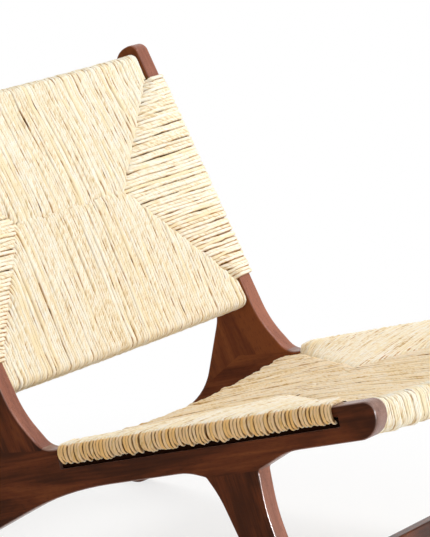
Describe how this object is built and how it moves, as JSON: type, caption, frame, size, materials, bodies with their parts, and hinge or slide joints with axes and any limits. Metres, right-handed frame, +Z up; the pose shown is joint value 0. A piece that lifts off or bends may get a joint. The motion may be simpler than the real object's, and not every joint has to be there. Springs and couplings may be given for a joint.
{
  "type": "lounge chair",
  "caption": "Low lounge chair with flat hardwood side frames on splayed legs and a woven rush seat and back wound round the frame.",
  "frame": {"origin": "on the floor, in the middle of the outline seen from above", "axes": "+Z up, the front of the chair faces -Y, +X is the sitter's left"},
  "size_m": [0.672, 0.8088, 0.6692],
  "materials": {
    "stained_hardwood": "satin varnish",
    "rush": "matte",
    "dowel_wood": "bare"
  },
  "bodies": {
    "root": {"side_rail_right": "stained_hardwood", "side_rail_left": "stained_hardwood", "back_post_right": "stained_hardwood", "back_post_left": "stained_hardwood", "front_leg_right": "stained_hardwood", "front_leg_left": "stained_hardwood", "seat_front_rail": "stained_hardwood", "seat_rear_rail": "stained_hardwood", "back_top_rail": "stained_hardwood", "back_bottom_rail": "stained_hardwood", "front_stretcher": "stained_hardwood", "seat_weave": "rush", "back_weave": "rush", "rail_dowels": "dowel_wood", "post_dowels": "dowel_wood", "leg_dowels": "dowel_wood"}
  },
  "joints": []
}
